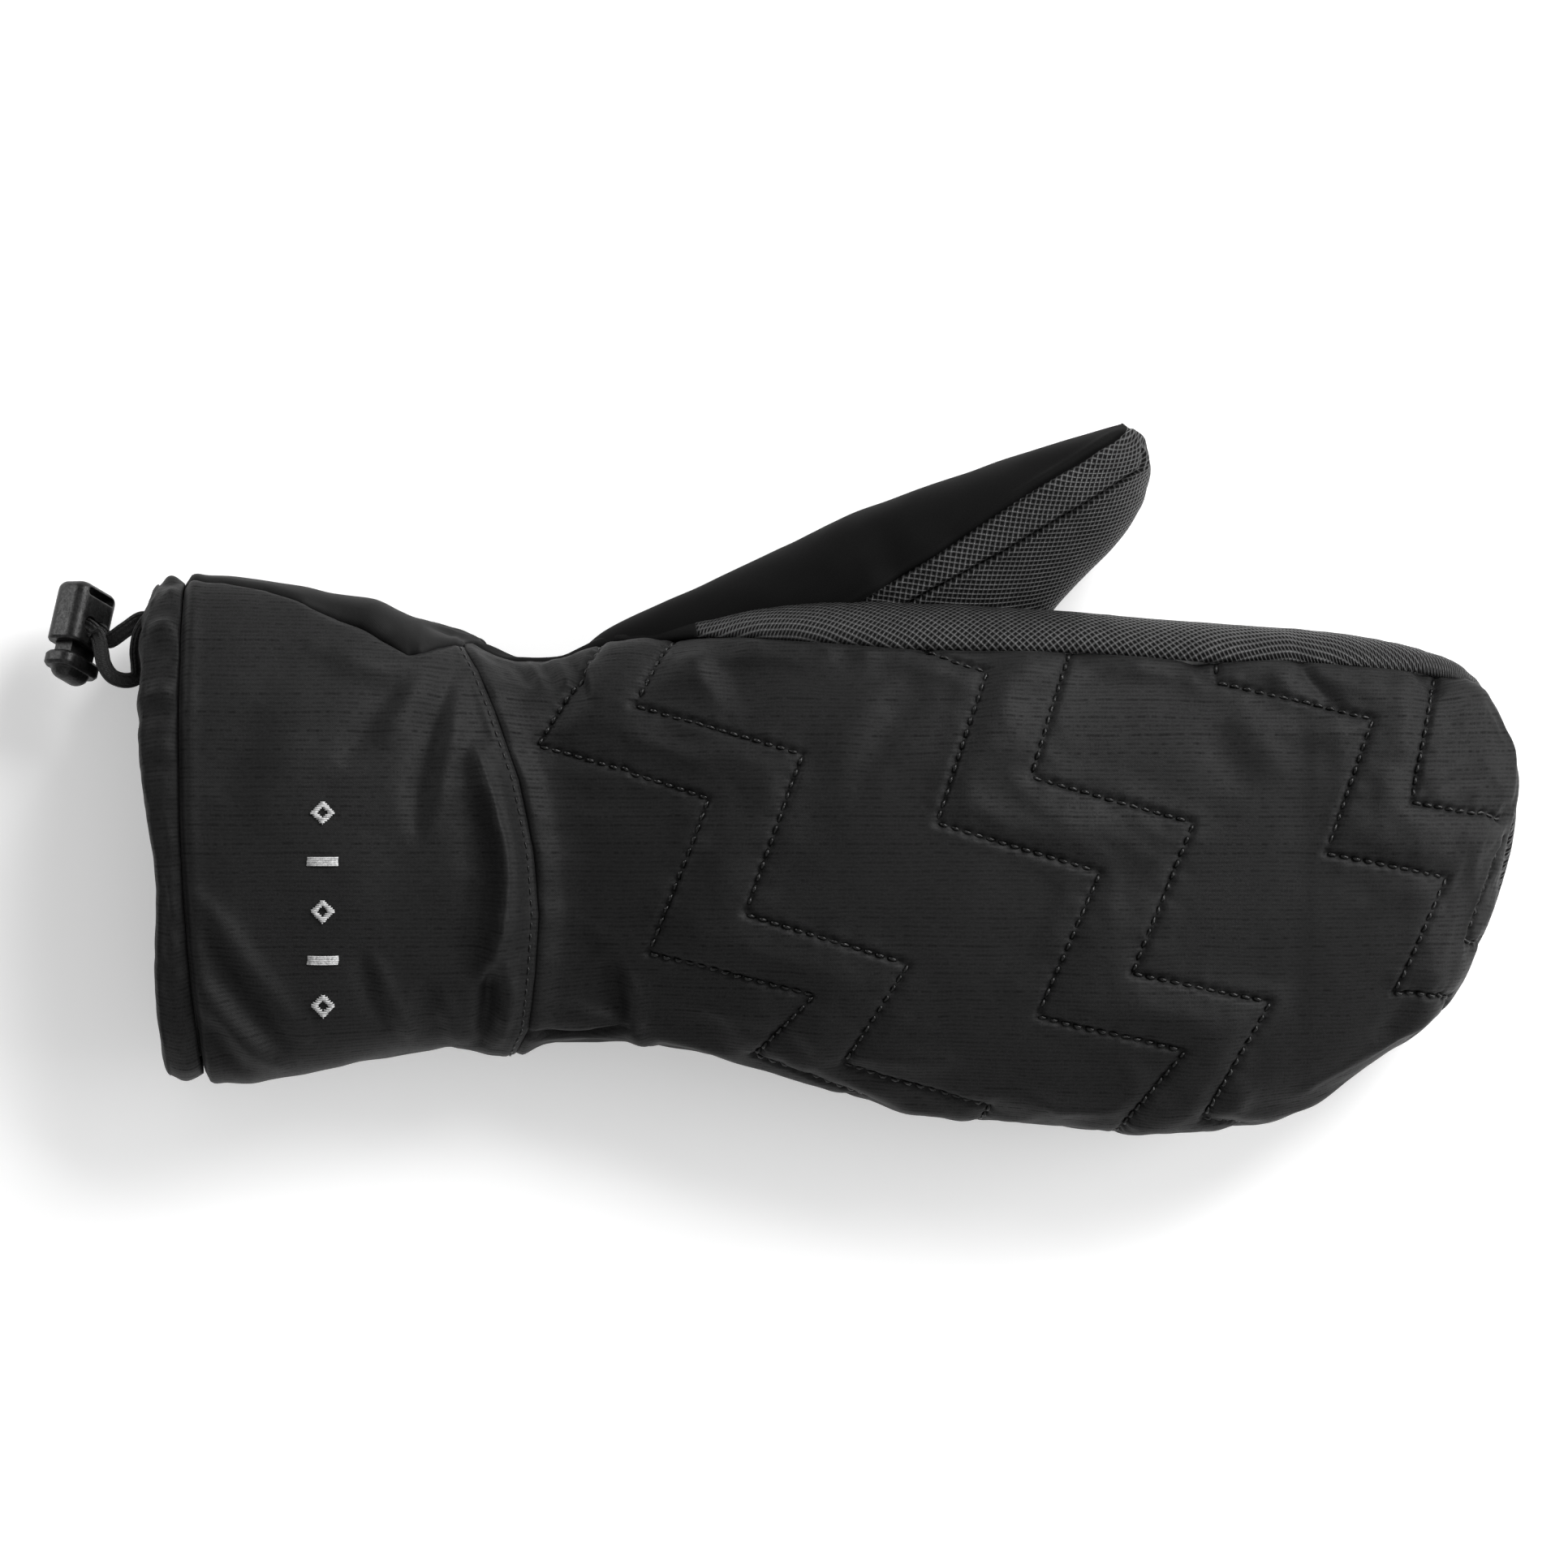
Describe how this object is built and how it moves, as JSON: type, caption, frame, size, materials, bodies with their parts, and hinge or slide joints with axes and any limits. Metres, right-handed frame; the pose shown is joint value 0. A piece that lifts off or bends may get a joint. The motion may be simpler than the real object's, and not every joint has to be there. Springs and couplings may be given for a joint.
{
  "type": "ski mitten",
  "caption": "Insulated right-hand ski mitten with quilted back, textured palm and thumb, gauntlet cuff, and a hem drawcord with a push-button cord lock.",
  "frame": {"origin": "on the resting plane, under the middle of the palm", "axes": "+X from the cuff to the fingertips, +Y towards the thumb, +Z out of the back of the hand; the mitten lies on its palm"},
  "size_m": [0.3467, 0.1688, 0.0605],
  "materials": {
    "ripstop": "dark grey ripstop nylon, faint sheen",
    "side_fabric": "plain smooth weave, matt",
    "softshell": "black stretch softshell, matt",
    "grip_fabric": "charcoal textured grip fabric with fine raised dots",
    "wadding": "white polyester wadding",
    "membrane": "thin milky film",
    "lining": "brushed fleece, matt",
    "elastic": "ribbed flat elastic",
    "thread": "black polyester thread",
    "emblem_thread": "light grey satin stitch",
    "lock_plastic": "black moulded acetal, satin",
    "spring_steel": "bright wire"
  },
  "bodies": {
    "hand": {"back_panel": "ripstop", "palm_panel": "grip_fabric", "thumb_web": "softshell", "hand_insulation": "wadding", "hand_membrane": "membrane", "hand_lining": "lining", "hand_quilt_thread": "thread"},
    "fingers": {"finger_back_panel": "ripstop", "finger_palm_panel": "grip_fabric", "finger_insulation": "wadding", "finger_membrane": "membrane", "finger_lining": "lining", "finger_quilt_thread": "thread"},
    "thumb": {"thumb_back_panel": "softshell", "thumb_side_strip": "grip_fabric", "thumb_palm_panel": "grip_fabric", "thumb_insulation": "wadding", "thumb_membrane": "membrane", "thumb_lining": "lining"},
    "cuff": {"cuff_back_panel": "ripstop", "cuff_palm_panel": "ripstop", "cuff_side_gusset": "side_fabric", "cuff_insulation": "wadding", "cuff_lining": "lining", "wrist_elastic": "elastic", "hem_tunnel": "ripstop", "drawcord": "elastic", "emblem": "emblem_thread"},
    "cord_lock": {"cord_lock_body": "lock_plastic", "cord_lock_spring": "spring_steel"},
    "plunger": {"cord_lock_plunger": "lock_plastic"}
  },
  "joints": [
    {"name": "wrist_flex", "type": "hinge", "parent": "hand", "child": "cuff", "pos_m": [-0.112, 0, 0.0225], "axis": [0, 1, 0], "range_deg": [-25, 25], "stiffness_Nm_per_rad": 0.6},
    {"name": "finger_curl", "type": "hinge", "parent": "hand", "child": "fingers", "pos_m": [0.014, 0, 0.022], "axis": [0, 1, 0], "range_deg": [0, 40], "stiffness_Nm_per_rad": 0.8},
    {"name": "thumb_swing", "type": "hinge", "parent": "hand", "child": "thumb", "pos_m": [0, 0.0645, 0.016], "axis": [-1, 0, 0], "range_deg": [-12, 28], "stiffness_Nm_per_rad": 0.2},
    {"name": "cord_lock_slide", "type": "slide", "parent": "cuff", "child": "cord_lock", "axis": [0.7942, 0.0121, 0.6076], "range_m": [0, 0.004]},
    {"name": "plunger_press", "type": "slide", "parent": "cord_lock", "child": "plunger", "axis": [0.2017, 0.9379, -0.2824], "range_m": [0, 0.002], "stiffness_N_per_m": 1500, "springref_m": -0.001, "deforming": ["cord_lock_spring"]}
  ]
}
